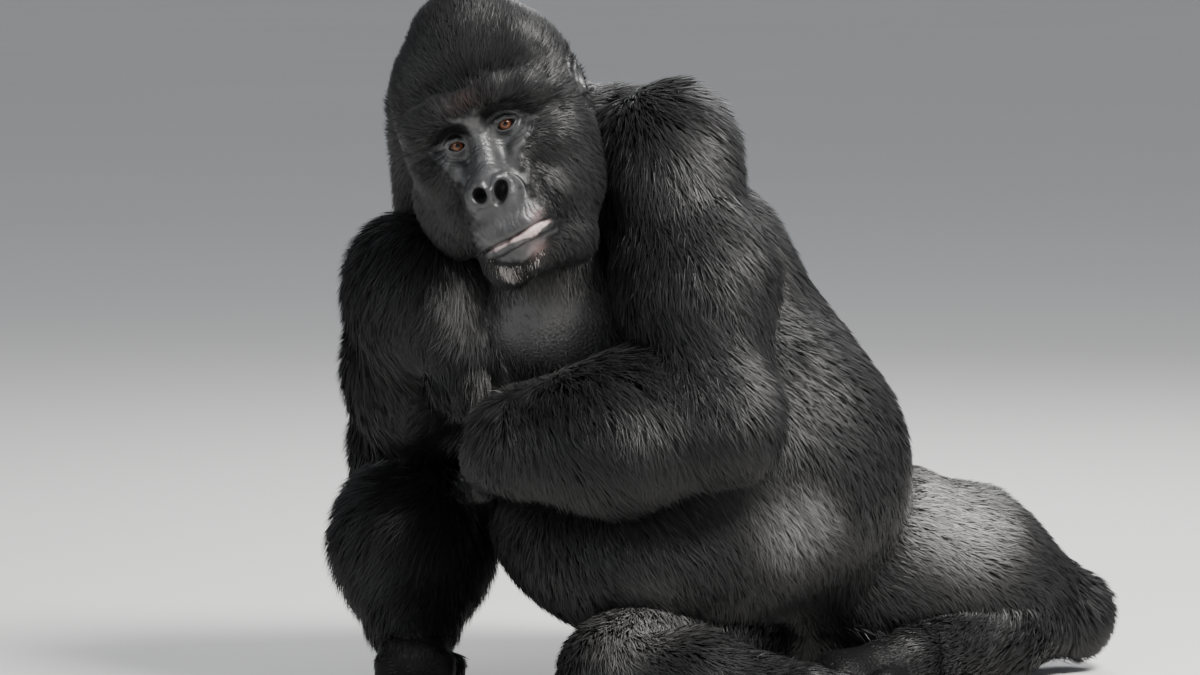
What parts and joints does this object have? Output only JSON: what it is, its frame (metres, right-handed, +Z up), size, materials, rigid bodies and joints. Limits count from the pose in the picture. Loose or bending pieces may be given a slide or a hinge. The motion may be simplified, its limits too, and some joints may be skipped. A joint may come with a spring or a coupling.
{
  "type": "sitting gorilla figure",
  "caption": "Life-size still model of a silverback mountain gorilla that sits on the ground, leans on one set of knuckles and lays its other forearm across its belly.",
  "frame": {"origin": "on the floor under the middle of the animal's box", "axes": "+Z up; the animal faces -Y; +X to the animal's left, along the longest side of the box"},
  "size_m": [1.1499, 0.7891, 1.0157],
  "materials": {
    "black_coat": "near-black hair with a soft sheen",
    "silver_coat": "silver-grey hair over black",
    "bare_skin": "bare grey-black skin, slightly shiny",
    "eye": "wet brown eye"
  },
  "bodies": {
    "root": {"head": "black_coat", "neck": "black_coat", "chest": "black_coat", "belly": "black_coat", "rump": "black_coat", "upper_arm_left": "black_coat", "upper_arm_right": "black_coat", "forearm_left": "black_coat", "forearm_right": "black_coat", "shin_left": "black_coat", "shin_right": "black_coat", "thigh_left": "silver_coat", "thigh_right": "silver_coat", "ear_left": "bare_skin", "ear_right": "bare_skin", "hand_left": "bare_skin", "hand_right": "bare_skin", "foot_left": "bare_skin", "foot_right": "bare_skin", "eye_left": "eye", "eye_right": "eye"}
  },
  "joints": []
}
